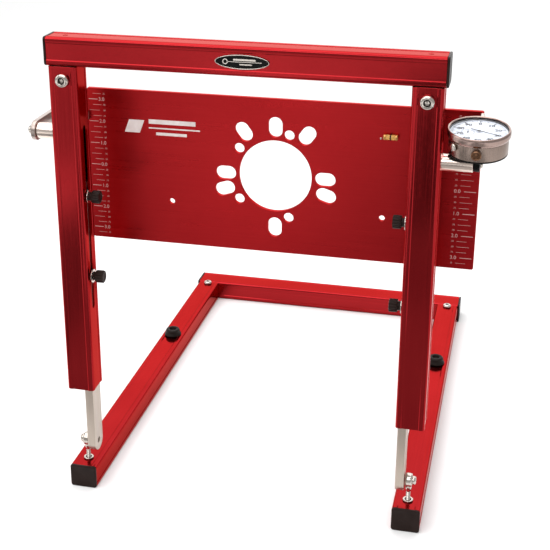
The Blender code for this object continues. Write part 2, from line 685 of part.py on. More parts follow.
def build_face(dial):
    centre = (0, DIAL_FORE, 0)
    low = CASE_TOP + GAP
    lip = BEZEL_TOP - 0.04 * INCH
    wall = GLASS_RADIUS + GAP
    ring = [(wall, low), (BEZEL_RADIUS - 0.02 * INCH, low), (BEZEL_RADIUS, low + 0.02 * INCH)]
    ring += [(BEZEL_RADIUS, BEZEL_TOP - 0.05 * INCH), (BEZEL_RADIUS - 0.03 * INCH, BEZEL_TOP)]
    ring += [(GLASS_RADIUS, BEZEL_TOP), (GLASS_RADIUS - 0.03 * INCH, lip), (wall, lip)]
    solid("dial_bezel", lathe(ring, "Z", DIAL_STEPS), "satin_chrome", centre, dial)
    glass = prism([circle(GLASS_RADIUS, DIAL_STEPS)], lip - 0.06 * INCH, lip - GAP)
    solid("dial_glass", glass, "clear_glass", centre, dial)
    small_x, small_y = (-0.42 * INCH, -0.1 * INCH)
    face = prism([circle(GLASS_RADIUS - 0.01 * INCH, DIAL_STEPS)], low + GAP, FACE_TOP)
    solid("dial_face", face, "white_face", centre, dial)
    build_hand("pointer", 0.86 * INCH, 0.09 * INCH, FACE_TOP + 0.045 * INCH, (0, 0), -25, dial)
    build_hand("counter_hand", 0.2 * INCH, 0.05 * INCH, FACE_TOP + GAP, (small_x, small_y), 90, dial)


def build_hand(name, length, width, low, spot, degrees, dial):
    """A pointed hand with a round boss, its origin on its own axis."""
    tail = arc((0, 0), width * 0.75, math.pi * 0.25, math.pi * 1.75, 10)
    outline = [*tail, (length, -width * 0.08), (length, width * 0.08)]
    place = (spot[0], DIAL_FORE + spot[1], low)
    hand = solid(name, prism([outline], 0, 0.02 * INCH), "black_enamel", place, dial)
    hand.rotation_euler = (0, 0, math.radians(degrees))


SIDES = (("left", -1), ("right", 1))


def main():
    clear_scene()
    legs = empty("legs", (0, FRAME_Y, PIVOT_Z))
    frame = empty("frame", (0, FRAME_Y, 0))
    build_rear_crossbar()
    for side, sign in SIDES:
        build_base(side, sign)
        build_leg(side, sign, legs)
        build_knobs(side, sign, legs)
        build_upright(side, sign, frame)
    build_top_crossbar(frame)
    build_contact(frame)
    build_plate()
    build_dial(frame)


main()
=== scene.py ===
"""Bump-steer gauge stand, finished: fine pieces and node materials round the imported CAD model.

Metres, +Z up, in the CAD model's frame. Places and sizes come from its nodes, joints and openings.
"""

import json
import math

import bmesh
import bpy
from mathutils import Matrix, Vector


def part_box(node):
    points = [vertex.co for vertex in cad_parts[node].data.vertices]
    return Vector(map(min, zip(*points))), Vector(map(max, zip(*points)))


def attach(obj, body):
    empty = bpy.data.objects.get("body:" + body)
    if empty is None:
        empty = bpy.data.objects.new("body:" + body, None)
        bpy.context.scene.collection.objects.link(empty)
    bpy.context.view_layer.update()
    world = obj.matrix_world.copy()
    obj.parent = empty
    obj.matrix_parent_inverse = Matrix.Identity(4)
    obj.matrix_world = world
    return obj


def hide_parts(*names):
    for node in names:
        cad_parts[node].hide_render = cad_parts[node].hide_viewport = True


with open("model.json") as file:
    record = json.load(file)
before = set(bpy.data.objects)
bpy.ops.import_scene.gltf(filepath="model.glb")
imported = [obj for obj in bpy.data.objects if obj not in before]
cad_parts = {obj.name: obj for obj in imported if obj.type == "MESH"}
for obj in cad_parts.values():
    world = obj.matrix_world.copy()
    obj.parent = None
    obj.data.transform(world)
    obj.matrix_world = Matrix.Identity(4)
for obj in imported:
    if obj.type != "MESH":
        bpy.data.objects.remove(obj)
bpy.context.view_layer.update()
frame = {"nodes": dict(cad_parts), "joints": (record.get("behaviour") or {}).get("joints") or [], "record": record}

INCH = 0.0254
GAP = 0.0003  # between touching pieces
EDGE = 0.012 * INCH  # the broken edge of a machined piece
SIDES = (("left", -1), ("right", 1))
JOINTS = {joint["name"]: joint for joint in frame["joints"]}
BODY_OF = {node: body for body, nodes in frame["record"]["behaviour"]["bodies"].items() for node in nodes}
OPENINGS = {
    hole["name"]: (Vector(hole["box_m"][0]) + Vector(hole["box_m"][1])) / 2
    for hole in frame["record"]["physics"]["openings"]
}

# Tubes: each side has a shallow channel along its middle
TUBE_RADIUS = 0.13 * INCH
TUBE_WALL = 0.09 * INCH
BAND = 0.23 * INCH
LEDGE = 0.035 * INCH
CHANNEL = 0.02 * INCH

# The uprights' slots, above their lower ends, for the knobs' studs
SLOT_RISE = 3.9 * INCH
SLOT_LENGTH = 8.4 * INCH
SLOT_WIDTH = 0.27 * INCH

# Hub plate
HUB_RADIUS = 1.61 * INCH
LUG_WIDTH = 0.62 * INCH
LUG_LENGTH = 0.9 * INCH
STUD_HOLE_RADIUS = 0.225 * INCH
SCREW_HOLE_RADIUS = 0.13 * INCH
PRINT = 0.002 * INCH  # a printed mark's thickness

SPINDLE_RADIUS = 0.094 * INCH


# Outlines: closed lists of (u, v) points, counter-clockwise


def arc(centre, radius, first, last, steps):
    turn = (last - first) / steps
    return [
        (centre[0] + radius * math.cos(first + turn * i), centre[1] + radius * math.sin(first + turn * i))
        for i in range(steps + 1)
    ]


def circle(radius, steps=64, centre=(0, 0)):
    return arc(centre, radius, 0, 2 * math.pi, steps)[:-1]


def hexagon(radius, steps=48):
    """A hexagon, with as many points as a circle that it is joined to."""
    points = []
    for i in range(steps):
        turn = 2 * math.pi * i / steps
        reach = radius * math.cos(math.pi / 6) / math.cos(turn % (math.pi / 3) - math.pi / 6)
        points.append((reach * math.cos(turn), reach * math.sin(turn)))
    return points


def rounded_box(width, height, radius, steps=6, centre=(0, 0)):
    points = []
    for quarter, (sx, sy) in enumerate(((1, 1), (-1, 1), (-1, -1), (1, -1))):
        corner = (centre[0] + sx * (width / 2 - radius), centre[1] + sy * (height / 2 - radius))
        points += arc(corner, radius, quarter * math.pi / 2, (quarter + 1) * math.pi / 2, steps)
    return points


def channelled(width, height, steps=6):
    """A tube's outer outline, with round corners and a channel in each side."""
    points = []
    for quarter in range(4):
        half, rise = (width / 2, height / 2) if quarter % 2 == 0 else (height / 2, width / 2)
        side = arc((half - TUBE_RADIUS, rise - TUBE_RADIUS), TUBE_RADIUS, 0, math.pi / 2, steps)
        outer, inner = half - BAND, half - BAND - LEDGE
        side += [(outer, rise), (inner, rise - CHANNEL), (-inner, rise - CHANNEL), (-outer, rise)]
        c, s = round(math.cos(quarter * math.pi / 2)), round(math.sin(quarter * math.pi / 2))
        points += [(u * c - v * s, u * s + v * c) for u, v in side]
    return points


def stadium(length, width, angle=0.0, centre=(0, 0), steps=16):
    half = (length - width) / 2
    points = arc((half, 0), width / 2, -math.pi / 2, math.pi / 2, steps)
    points += arc((-half, 0), width / 2, math.pi / 2, 3 * math.pi / 2, steps)
    c, s = math.cos(angle), math.sin(angle)
    return [(centre[0] + u * c - v * s, centre[1] + u * s + v * c) for u, v in points]


def fluted(radius, lobes, depth, steps=8):
    turns = [2 * math.pi * i / (lobes * steps) for i in range(lobes * steps)]
    radii = [radius - depth * ((1 + math.cos(lobes * a)) / 2) ** 2 for a in turns]
    return [(r * math.cos(a), r * math.sin(a)) for r, a in zip(radii, turns)]


def inset(outline, by):
    """The outline moved in by a distance, or out if it is negative."""
    moved = []
    for before, here, after in zip(outline[-1:] + outline[:-1], outline, outline[1:] + outline[:1]):
        here = Vector(here)
        sides = [(here - Vector(before)).normalized(), (Vector(after) - here).normalized()]
        normals = [Vector((-side.y, side.x)) for side in sides]
        mean = (normals[0] + normals[1]).normalized()
        moved.append(tuple(here + mean * by / max(0.5, mean.dot(normals[0]))))
    return moved


def filleted(points, radius, steps=4):
    """A (radius, place) profile whose corners off the axis are rounded."""
    smooth = []
    for before, here, after in zip(points[-1:] + points[:-1], points, points[1:] + points[:1]):
        if here[0] < 1e-7:
            smooth.append(here)
            continue
        back, on = Vector(before) - Vector(here), Vector(after) - Vector(here)
        reach = min(radius, back.length * 0.45, on.length * 0.45)
        start, end = Vector(here) + back.normalized() * reach, Vector(here) + on.normalized() * reach
        for i in range(steps + 1):
            t = i / steps
            smooth.append(tuple(start * (1 - t) ** 2 + Vector(here) * 2 * t * (1 - t) + end * t * t))
    return smooth


# Solids, built along the X, Y or Z axis


def at(axis, u, v, t):
    return {"X": (t, u, v), "Y": (u, t, v), "Z": (u, v, t)}[axis]


def finished(mesh):
    bmesh.ops.remove_doubles(mesh, verts=mesh.verts, dist=1e-7)
    bmesh.ops.recalc_face_normals(mesh, faces=mesh.faces)
    return mesh


def slab(outlines, low, high, axis="Z", edge=EDGE, steps=2):
    """A straight solid with broken edges, whose section is the first outline less the others."""
    mesh = bmesh.new()
    ends = ([], [])
    for number, outline in enumerate(outlines):
        inward = 1 if number == 0 else -1
        rings = []
        for i in range(steps + 1):
            turn = math.pi / 2 * i / steps
            rings.append((inset(outline, inward * edge * (1 - math.sin(turn))), edge * (1 - math.cos(turn))))
        levels = [(ring, low + deep) for ring, deep in rings]
        levels += [(ring, high - deep) for ring, deep in rings[::-1]]
        made = [[mesh.verts.new(at(axis, u, v, t)) for u, v in ring] for ring, t in levels]
        for one, other in zip(made, made[1:]):
            for i in range(len(one)):
                after = (i + 1) % len(one)
                mesh.faces.new((one[i], one[after], other[after], other[i]))
        ends[0].append(made[0])
        ends[1].append(made[-1])
    for rings in ends:
        edges = []
        for ring in rings:
            edges += [mesh.edges.get((one, other)) for one, other in zip(ring, ring[1:] + ring[:1])]
        bmesh.ops.triangle_fill(mesh, use_beauty=True, use_dissolve=True, edges=edges)
    return finished(mesh)


def loft(sections, axis="Z"):
    """A solid through (outline, place) sections that have the same number of points."""
    mesh = bmesh.new()
    rings = [[mesh.verts.new(at(axis, u, v, t)) for u, v in outline] for outline, t in sections]
    for low, high in zip(rings, rings[1:]):
        for i in range(len(low)):
            after = (i + 1) % len(low)
            mesh.faces.new((low[i], low[after], high[after], high[i]))
    mesh.faces.new(rings[0])
    mesh.faces.new(rings[-1])
    return finished(mesh)


def lathe(profile, axis="Z", steps=64):
    """A solid turned from a closed profile of (radius, place) points."""
    mesh = bmesh.new()
    rings = []
    for radius, t in profile:
        if radius < 1e-7:
            rings.append([mesh.verts.new(at(axis, 0, 0, t))] * steps)
        else:
            rings.append([mesh.verts.new(at(axis, u, v, t)) for u, v in circle(radius, steps)])
    for low, high in zip(rings, rings[1:] + rings[:1]):
        for i in range(steps):
            after = (i + 1) % steps
            corners = list(dict.fromkeys((low[i], low[after], high[after], high[i])))
            if len(corners) > 2:
                mesh.faces.new(corners)
    return finished(mesh)


def moved(mesh, place):
    """The mesh moved to a point, or by a matrix."""
    matrix = place if isinstance(place, Matrix) else Matrix.Translation(place)
    bmesh.ops.transform(mesh, matrix=matrix, verts=mesh.verts)
    return mesh


def joined(*meshes):
    """Several meshes as one, each a closed solid of its own."""
    whole = bmesh.new()
    for mesh in meshes:
        data = bpy.data.meshes.new("part")
        mesh.to_mesh(data)
        mesh.free()
        whole.from_mesh(data)
        bpy.data.meshes.remove(data)
    return whole


def placed_object(name, mesh):
    data = bpy.data.meshes.new(name)
    mesh.to_mesh(data)
    mesh.free()
    obj = bpy.data.objects.new(name, data)
    bpy.context.scene.collection.objects.link(obj)
    return obj


def carved(mesh, *tools):
    """The mesh less the tools."""
    body = placed_object("carved", mesh)
    cutters = [placed_object("cutter", tool) for tool in tools]
    for cutter in cutters:
        taken = body.modifiers.new("cut", "BOOLEAN")
        taken.object = cutter
        taken.operation = "DIFFERENCE"
        taken.solver = "EXACT"
    graph = bpy.context.evaluated_depsgraph_get()
    result = bmesh.new()
    result.from_object(body, graph)
    for used in [body, *cutters]:
        data = used.data
        bpy.data.objects.remove(used)
        bpy.data.meshes.remove(data)
    return result


def extent(node, place=None):
    """A CAD node's lowest and highest corners, in the axes of a place if one is given."""
    if place is None:
        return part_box(node)
    turned = place.inverted()
    points = [turned @ vertex.co for vertex in frame["nodes"][node].data.vertices]
    return Vector(map(min, zip(*points))), Vector(map(max, zip(*points)))


def middle(node):
    low, high = extent(node)
    return (low + high) / 2


# Materials: patterns run on object coordinates, which are metres in the rest pose


class Shade:
    """A Principled material and the means to drive it with nodes."""

    def __init__(self, name, slot):
        self.slot = slot
        self.material = bpy.data.materials.new(name)
        self.material.use_nodes = True
        self.tree = self.material.node_tree
        self.shader = self.tree.nodes["Principled BSDF"]
        self.where = self.node("TexCoord").outputs["Object"]

    def node(self, kind, settings=None, **inputs):
        made = self.tree.nodes.new("ShaderNode" + kind)
        for name, value in (settings or {}).items():
            setattr(made, name, value)
        for name, value in inputs.items():
            self.feed(made.inputs[name.replace("_", " ")], value)
        return made

    def feed(self, socket, value):
        if isinstance(value, bpy.types.NodeSocket):
            self.tree.links.new(value, socket)
        else:
            socket.default_value = value

    def set(self, **inputs):
        for name, value in inputs.items():
            self.feed(self.shader.inputs[name.replace("_", " ")], value)

    def noise(self, scale, detail=3.0, stretch=(1, 1, 1)):
        """Noise from 0 to 1, with so many features to the metre along each axis."""
        place = self.node("Mapping", Vector=self.where, Scale=stretch).outputs["Vector"]
        return self.node("TexNoise", Vector=place, Scale=scale, Detail=detail).outputs["Fac"]

    def ramp(self, value, low, high, start=0.3, end=0.7):
        made = self.node("MapRange", Value=value, From_Min=start, From_Max=end, To_Min=low, To_Max=high)
        return made.outputs["Result"]

    def mix(self, amount, one, other):
        made = self.node("Mix", {"data_type": "RGBA"})
        self.feed(made.inputs["Factor"], amount)
        colours = [socket for socket in made.inputs if socket.name in "AB" and socket.type == "RGBA"]
        for socket, value in zip(colours, (one, other)):
            self.feed(socket, value if isinstance(value, bpy.types.NodeSocket) else (*value, 1))
        return next(socket for socket in made.outputs if socket.type == "RGBA")

    def add(self, one, other):
        made = self.node("Math", {"operation": "ADD"})
        self.feed(made.inputs[0], one)
        self.feed(made.inputs[1], other)
        return made.outputs[0]

    def bump(self, height, strength, distance):
        made = self.node("Bump", Height=height, Strength=strength, Distance=distance)
        self.set(Normal=made.outputs["Normal"])


def along(axis, fine, coarse):
    """Noise scales that draw lines along one axis."""
    return tuple(coarse if name == axis else fine for name in "XYZ")


def brushed(name, slot, colour, deep, rough, axis=None, grain=900, lines=14, strength=0.1):
    """Metal with a drawn grain along an axis, soft patches and fine scratches."""
    shade = Shade(name, slot)
    patches = shade.noise(9, 2)
    grained = shade.noise(1, 4, along(axis, grain, lines) if axis else (grain, grain, grain))
    dust = shade.noise(260, 6)
    tone = shade.add(shade.ramp(patches, 0, 0.6), shade.ramp(grained, 0, 0.4))
    gloss = shade.add(shade.ramp(grained, rough - 0.03, rough + 0.04), shade.ramp(dust, 0, 0.05, 0.5, 0.8))
    shade.set(Base_Color=shade.mix(tone, deep, colour), Metallic=1.0, Roughness=gloss)
    shade.bump(shade.add(grained, shade.ramp(dust, 0, 0.5)), strength, 0.00004)
    return shade


def moulded(name, slot, colour, pale, rough, grain=1500, strength=0.25):
    """Plastic or rubber with a fine moulded texture and rubbed patches."""
    shade = Shade(name, slot)
    texture = shade.noise(grain, 4)
    worn = shade.noise(70, 5)
    shade.set(
        Base_Color=shade.mix(shade.ramp(worn, 0, 1, 0.35, 0.75), colour, pale),
        Roughness=shade.add(shade.ramp(texture, rough - 0.05, rough + 0.08), shade.ramp(worn, 0, -0.08)),
    )
    shade.bump(texture, strength, 0.00006)
    return shade


RED = (0.36, 0.018, 0.021)
DEEP_RED = (0.28, 0.012, 0.015)
FINISHES = {
    f"red_{axis}": brushed(f"red_anodised_along_{axis}", "red_anodised", RED, DEEP_RED, 0.15, axis.upper())
    for axis in "xyz"
}
FINISHES["red_plate"] = brushed(
    "red_anodised_sheet", "red_anodised", (0.45, 0.018, 0.021), (0.38, 0.013, 0.016), 0.3, "X", 700, 9, 0.14
)
for red in FINISHES.values():
    red.set(Specular_Tint=(1.0, 0.5, 0.48, 1.0))
FINISHES["aluminium"] = brushed(
    "brushed_aluminium", "bare_aluminium", (0.56, 0.48, 0.41), (0.45, 0.385, 0.33), 0.36, "Z"
)
FINISHES["steel"] = brushed(
    "polished_steel", "bright_steel", (0.66, 0.61, 0.56), (0.5, 0.45, 0.4), 0.14, grain=1200
)
# Near-black steel: the vial's band, and painted shade lining the screws' sockets
FINISHES["black_steel_and_socket_shade"] = brushed(
    "blackened_steel_and_socket_shade", "bright_steel", (0.05, 0.04, 0.035), (0.02, 0.016, 0.014), 0.3, grain=1200
)
# Bare aluminium darkened to brown: painted shade and a painted reflection of the red plate
FINISHES["bar"] = brushed(
    "bare_bar_painted_shade_and_reflection", "bare_aluminium", (0.5, 0.42, 0.38), (0.36, 0.3, 0.27), 0.3, "Y", 800, 20
)
FINISHES["bronze"] = brushed(
    "bronzed_cap", "bright_steel", (0.3, 0.17, 0.1), (0.12, 0.055, 0.03), 0.28, grain=500, strength=0.3
)
FINISHES["brass"] = brushed(
    "brass_fitting", "amber_vial", (0.62, 0.36, 0.13), (0.45, 0.25, 0.08), 0.3, grain=1200
)
# Turned steel tinted pinkish brown: a painted reflection of the red plate
FINISHES["turned_steel_painted_reflection"] = brushed(
    "turned_steel_painted_reflection", "bright_steel", (0.95, 0.82, 0.74), (0.7, 0.57, 0.49), 0.17, "X", 900, 30
)
# Dial chrome tinted brownish pink, darker on the case: painted shade and a painted reflection of the red stand
FINISHES["chrome"] = brushed(
    "dial_chrome_painted_shade_and_reflection", "satin_chrome", (0.37, 0.28, 0.24), (0.26, 0.2, 0.17), 0.26, "Z", 500, 40
)
FINISHES["bezel"] = brushed(
    "bezel_chrome_painted_reflection", "satin_chrome", (0.5, 0.36, 0.32), (0.36, 0.26, 0.23), 0.2, "Z", 500, 40
)
FINISHES["plastic"] = moulded(
    "moulded_plastic", "black_plastic", (0.014, 0.007, 0.0055), (0.024, 0.014, 0.012), 0.36
)
FINISHES["rubber"] = moulded(
    "moulded_rubber", "black_rubber", (0.009, 0.006, 0.005), (0.018, 0.014, 0.012), 0.5, 900
)
FINISHES["enamel"] = moulded(
    "black_enamel_gloss", "black_enamel", (0.002, 0.002, 0.002), (0.006, 0.006, 0.006), 0.3, 400, 0.05
)
for black in ("plastic", "rubber", "enamel"):
    FINISHES[black].set(Specular_IOR_Level=0.1)
FINISHES["face"] = moulded(
    "dial_card", "white_face", (0.6, 0.62, 0.68), (0.52, 0.54, 0.6), 0.55, 2500, 0.05
)
FINISHES["ink"] = moulded(
    "dial_ink", "black_enamel", (0.012, 0.012, 0.016), (0.03, 0.03, 0.04), 0.6, 2500, 0.05
)
FINISHES["faint_paint"] = moulded(
    "ruler_print", "white_face", (0.64, 0.37, 0.35), (0.5, 0.22, 0.2), 0.6, 2200, 0.1
)
FINISHES["paint"] = moulded("screen_print", "white_face", (0.78, 0.72, 0.7), (0.6, 0.5, 0.47), 0.6, 2200, 0.1)


def clear(name, slot, colour, rough, ior, weight=1.0):
    """Glass that lets lamps through to what is behind it."""
    shade = Shade(name, slot)
    smudge = shade.noise(120, 4)
    shade.set(
        Base_Color=shade.mix(shade.ramp(smudge, 0, 0.3), colour, tuple(0.96 * c for c in colour)),
        Roughness=shade.ramp(smudge, rough, rough + 0.03),
        IOR=ior,
        Transmission_Weight=weight,
    )
    through = shade.node("BsdfTransparent", Color=(*colour, 1))
    lamp = shade.node("LightPath").outputs["Is Shadow Ray"]
    blend = shade.node("MixShader")
    shade.feed(blend.inputs[0], lamp)
    shade.feed(blend.inputs[1], shade.shader.outputs[0])
    shade.feed(blend.inputs[2], through.outputs[0])
    output = next(node for node in shade.tree.nodes if node.type == "OUTPUT_MATERIAL")
    shade.feed(output.inputs["Surface"], blend.outputs[0])
    return shade


FINISHES["glass"] = clear("dial_crystal", "clear_glass", (0.97, 0.98, 0.99), 0.01, 1.12)
FINISHES["amber"] = clear("amber_spirit", "amber_vial", (0.8, 0.5, 0.14), 0.1, 1.33, 0.35)


def piece(name, mesh, finish, stands_for=None, body=None, angle=32):
    """A shown piece on the body of the CAD node that it stands for, or on the body named."""
    obj = placed_object(name, mesh)
    obj.data.shade_smooth()
    obj.data.set_sharp_from_angle(angle=math.radians(angle))
    shade = FINISHES[finish]
    obj.data.materials.append(shade.material)
    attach(obj, body or BODY_OF[stands_for])
    if stands_for:
        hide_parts(stands_for)
    return obj


def dress(node, finish):
    """A CAD node keeps its shape and takes a finished material."""
    obj = frame["nodes"][node]
    obj.data.materials.clear()
    obj.data.materials.append(FINISHES[finish].material)


def button_head(radius, height, socket):
    """A domed head that stands on zero along +Z, with a hexagon socket."""
    steps = 48
    dome = [(radius * 0.97, 0.0), (radius, height * 0.1)]
    for i in range(1, 7):
        turn = math.pi / 2 * i / 6
        reach = radius * (0.52 + 0.48 * math.cos(turn) ** 0.8)
        dome.append((reach, height * (0.1 + 0.9 * math.sin(turn))))
    sections = [(circle(r, steps), t) for r, t in dome]
    sections.append((circle(socket * 1.2, steps), height))
    sections.append((circle(socket * 1.12, steps), height * 0.92))
    sections.append((circle(socket * 1.12, steps), height * 0.42))
    sections.append((circle(socket * 0.3, steps), height * 0.3))
    return loft(sections)


def screw(node, radius, height, socket, turn, base):
    """A button screw for a CAD node: its head stands on a base point and faces the way that turn gives."""
    place = Matrix.Translation(base) @ turn
    piece(f"{node}_head", moved(button_head(radius, height, socket), place), "steel", node)
    # A near-black lining in the socket: painted shade in its hollow
    outlines = [circle(socket * 1.1, 48), hexagon(socket * 0.78)]
    socket_shade = slab(outlines, height * 0.45, height * 0.88, "Z", socket * 0.04, 1)
    piece(f"{node}_socket", moved(socket_shade, place), "black_steel_and_socket_shade", body=BODY_OF[node])


UP = Matrix.Identity(4)
TO_FRONT = Matrix.Rotation(math.pi / 2, 4, "X")


def to_side(sign):
    return Matrix.Rotation(sign * math.pi / 2, 4, "Y")


def plain_rod(name, node):
    """A round rod along X with rounded ends, for a CAD node; gives its middle."""
    low, high = extent(node)
    centre = (low + high) / 2
    radius = (high.z - low.z) / 2
    profile = filleted([(0, low.x), (radius, low.x), (radius, high.x), (0, high.x)], 0.03 * INCH)
    rod = moved(lathe(profile, "X", 72), Vector((0, centre.y, centre.z)))
    piece(name, rod, "turned_steel_painted_reflection", node)
    return centre


# Tubes and caps


def tube(node, axis, holes=()):
    low, high = extent(node)
    size, centre = high - low, (low + high) / 2
    across = {"X": (1, 2), "Y": (0, 2), "Z": (0, 1)}[axis]
    length = "XYZ".index(axis)
    width, height = size[across[0]], size[across[1]]
    bore = rounded_box(width - 2 * TUBE_WALL, height - 2 * TUBE_WALL, TUBE_RADIUS - TUBE_WALL, 3)
    mesh = slab([channelled(width, height), bore], -size[length] / 2, size[length] / 2, axis)
    mesh = moved(mesh, centre)
    if holes:
        mesh = carved(mesh, *holes)
    piece(f"{node}_tube", mesh, f"red_{axis.lower()}", node, angle=20)


def cap(node, axis, sign):
    """A moulded cap with a rounded rim and a faint dish in its face."""
    low, high = extent(node)
    size, centre = high - low, (low + high) / 2
    across = {"X": (1, 2), "Y": (0, 2)}[axis]
    length = "XYZ".index(axis)
    width, height = size[across[0]], size[across[1]]
    face = high[length] if sign > 0 else low[length]
    thick = 0.11 * INCH
    rim = 0.04 * INCH
    full = rounded_box(width, height, TUBE_RADIUS)
    sections = [(inset(full, rim * 0.3), -thick + GAP), (full, -thick + GAP + rim * 0.3)]
    for i in range(5):
        turn = math.pi / 2 * i / 4
        sections.append((inset(full, rim * (1 - math.cos(turn))), rim * math.sin(turn) - rim))
    sections.append((inset(full, rim * 2.2), 0))
    sections.append((inset(full, rim * 2.8), -0.008 * INCH))
    sections = [(outline, sign * t) for outline, t in sections]
    at_face = centre.copy()
    at_face[length] = face
    piece(f"{node}_moulding", moved(loft(sections, axis), at_face), "plastic", node)


def build_tubes():
    tube("rear_crossbar", "X")
    tube("top_crossbar", "X")
    for side, sign in SIDES:
        low, high = extent(f"upright_{side}")
        inner = high.x if sign < 0 else low.x
        depth = (low.y + high.y) / 2
        slot = stadium(SLOT_LENGTH, SLOT_WIDTH, math.pi / 2, (depth, low.z + SLOT_RISE + SLOT_LENGTH / 2))
        through = slab([slot], inner - 1.6 * TUBE_WALL, inner + 1.6 * TUBE_WALL, "X")
        tube(f"upright_{side}", "Z", [through])
        insert = middle(f"pivot_insert_{side}")
        top = extent(f"base_rail_{side}")[1].z
        hole = slab([circle(0.2 * INCH, 48, (insert.x, insert.y))], top - 2 * TUBE_WALL, top + TUBE_WALL)
        tube(f"base_rail_{side}", "Y", [hole])
        cap(f"rail_cap_{side}", "Y", -1)
        cap(f"rear_cap_{side}", "X", sign)
        cap(f"crossbar_cap_{side}", "X", sign)
        dress(f"corner_block_{side}", "aluminium")
        dress(f"rail_block_{side}", "aluminium")


def build_fasteners():
    for side, _ in SIDES:
        low, high = extent(f"frame_screw_{side}")
        spot = Vector(((low.x + high.x) / 2, extent(f"upright_{side}")[0].y - GAP, (low.z + high.z) / 2))
        screw(f"frame_screw_{side}", (high.x - low.x) / 2, spot.y - low.y, 0.125 * INCH, TO_FRONT, spot)
        low, high = extent(f"rail_screw_{side}")
        top = extent(f"base_rail_{side}")[1].z + GAP
        spot = Vector(((low.x + high.x) / 2, (low.y + high.y) / 2, top))
        screw(f"rail_screw_{side}", (high.x - low.x) / 2, high.z - top, 0.09 * INCH, UP, spot)
        low, high = extent(f"crossbar_screw_{side}")
        radius = (high.x - low.x) / 2
        rivet = lathe(
            [(0, 0), (radius, 0), (radius * 0.95, CHANNEL * 0.4), (radius * 0.6, CHANNEL * 0.8),
             (radius * 0.3, CHANNEL * 0.5), (0, CHANNEL * 0.3)],
            steps=32,
        )
        spot = Vector(((low.x + high.x) / 2, (low.y + high.y) / 2, extent("top_crossbar")[1].z - CHANNEL))
        piece(f"crossbar_rivet_{side}", moved(rivet, spot), "red_z", f"crossbar_screw_{side}")


# Legs and their pivots


def build_leg(side):
    low, high = extent(f"leg_{side}")
    pivot = Vector(JOINTS["frame_fold"]["pos_m"])
    half = (high.y - low.y) / 2
    outline = arc((pivot.y, pivot.z), half, math.pi, 2 * math.pi, 40)
    outline += [(pivot.y + half, high.z), (pivot.y - half, high.z)]
    holes = [circle(0.135 * INCH, 40, (pivot.y, pivot.z))]
    for level in ("lower", "upper"):
        knob = Vector(JOINTS[f"knob_{side}_{level}_turn"]["pos_m"])
        holes.append(circle(0.125 * INCH, 32, (knob.y, knob.z)))
    bar = slab([outline, *holes], low.x, high.x, "X", 0.02 * INCH, 3)
    piece(f"leg_bar_{side}", bar, "aluminium", f"leg_{side}")


def build_pivot(side, sign):
    """A rod end's eye, ball and threaded stem, its bolt, and the bush in the rail that the stem stands in."""
    low, high = extent(f"rod_end_{side}")
    pivot = Vector(((low.x + high.x) / 2, JOINTS["frame_fold"]["pos_m"][1], JOINTS["frame_fold"]["pos_m"][2]))
    half = (high.x - low.x) / 2
    radius = high.z - pivot.z
    band = half * 0.95
    hoop = [(radius * 0.66, -band), (radius * 0.9, -band), (radius, -band * 0.55), (radius, band * 0.55)]
    hoop += [(radius * 0.9, band), (radius * 0.66, band)]
    turns = [-1.0 + 0.2 * i for i in range(11)]
    crown = [(radius * 0.66 * math.cos(a), half * math.sin(a) / math.sin(1.0)) for a in turns]
    ball = [(half, -half), *crown, (half, half)]
    stem = 0.095 * INCH
    drop = low.z - pivot.z
    thread = [(0, drop), (stem * 0.86, drop)]
    pitch = 0.04 * INCH
    z = drop
    while z < -radius - 0.3 * INCH:
        thread += [(stem, z + pitch * 0.5), (stem * 0.86, z + pitch)]
        z += pitch
    collar = [(stem, -radius - 0.2 * INCH), (stem * 1.45, -radius - 0.12 * INCH), (stem * 1.5, -radius * 0.9)]
    thread += [*collar, (0, -radius * 0.9)]
    mesh = joined(lathe(filleted(hoop, 0.02 * INCH), "X"), lathe(ball, "X", 48), lathe(thread, "Z", 40))
    piece(f"rod_end_eye_{side}", moved(mesh, pivot), "steel", f"rod_end_{side}")
    low, high = extent(f"pivot_bolt_{side}")
    foot = pivot + Vector((sign * (half + GAP), 0, 0))
    tall = (high.x - foot.x) if sign > 0 else (foot.x - low.x)
    screw(f"pivot_bolt_{side}", (high.y - low.y) / 2, tall, 0.09 * INCH, to_side(sign), foot)
    low, high = extent(f"pivot_insert_{side}")
    centre = (low + high) / 2
    top = extent(f"base_rail_{side}")[1].z + GAP
    rise = high.z - top
    flange = (high.x - low.x) / 2
    bore = 0.14 * INCH
    shank = 0.19 * INCH
    ring = [(bore, low.z - top), (shank, low.z - top), (shank, 0), (flange, 0), (flange, rise * 0.7)]
    ring += [(flange - rise * 0.4, rise), (bore + rise * 0.3, rise), (bore, rise * 0.7)]
    mesh = moved(lathe(filleted(ring, 0.012 * INCH, 3)), Vector((centre.x, centre.y, top)))
    piece(f"pivot_bush_{side}", mesh, "steel", f"pivot_insert_{side}")


def build_bumper(side):
    low, high = extent(f"bumper_{side}")
    centre = (low + high) / 2
    foot = (high.x - low.x) / 2
    tall = high.z - low.z
    top = foot * 0.84
    profile = [(0, 0), (foot, 0), (foot, tall * 0.14), (top, tall * 0.55), (top, tall * 0.8)]
    profile += [(top * 0.82, tall), (top * 0.5, tall * 0.97), (top * 0.42, tall * 0.6), (0, tall * 0.6)]
    mesh = moved(lathe(filleted(profile, 0.05 * INCH, 5)), Vector((centre.x, centre.y, low.z)))
    piece(f"bumper_foot_{side}", mesh, "rubber", f"bumper_{side}")


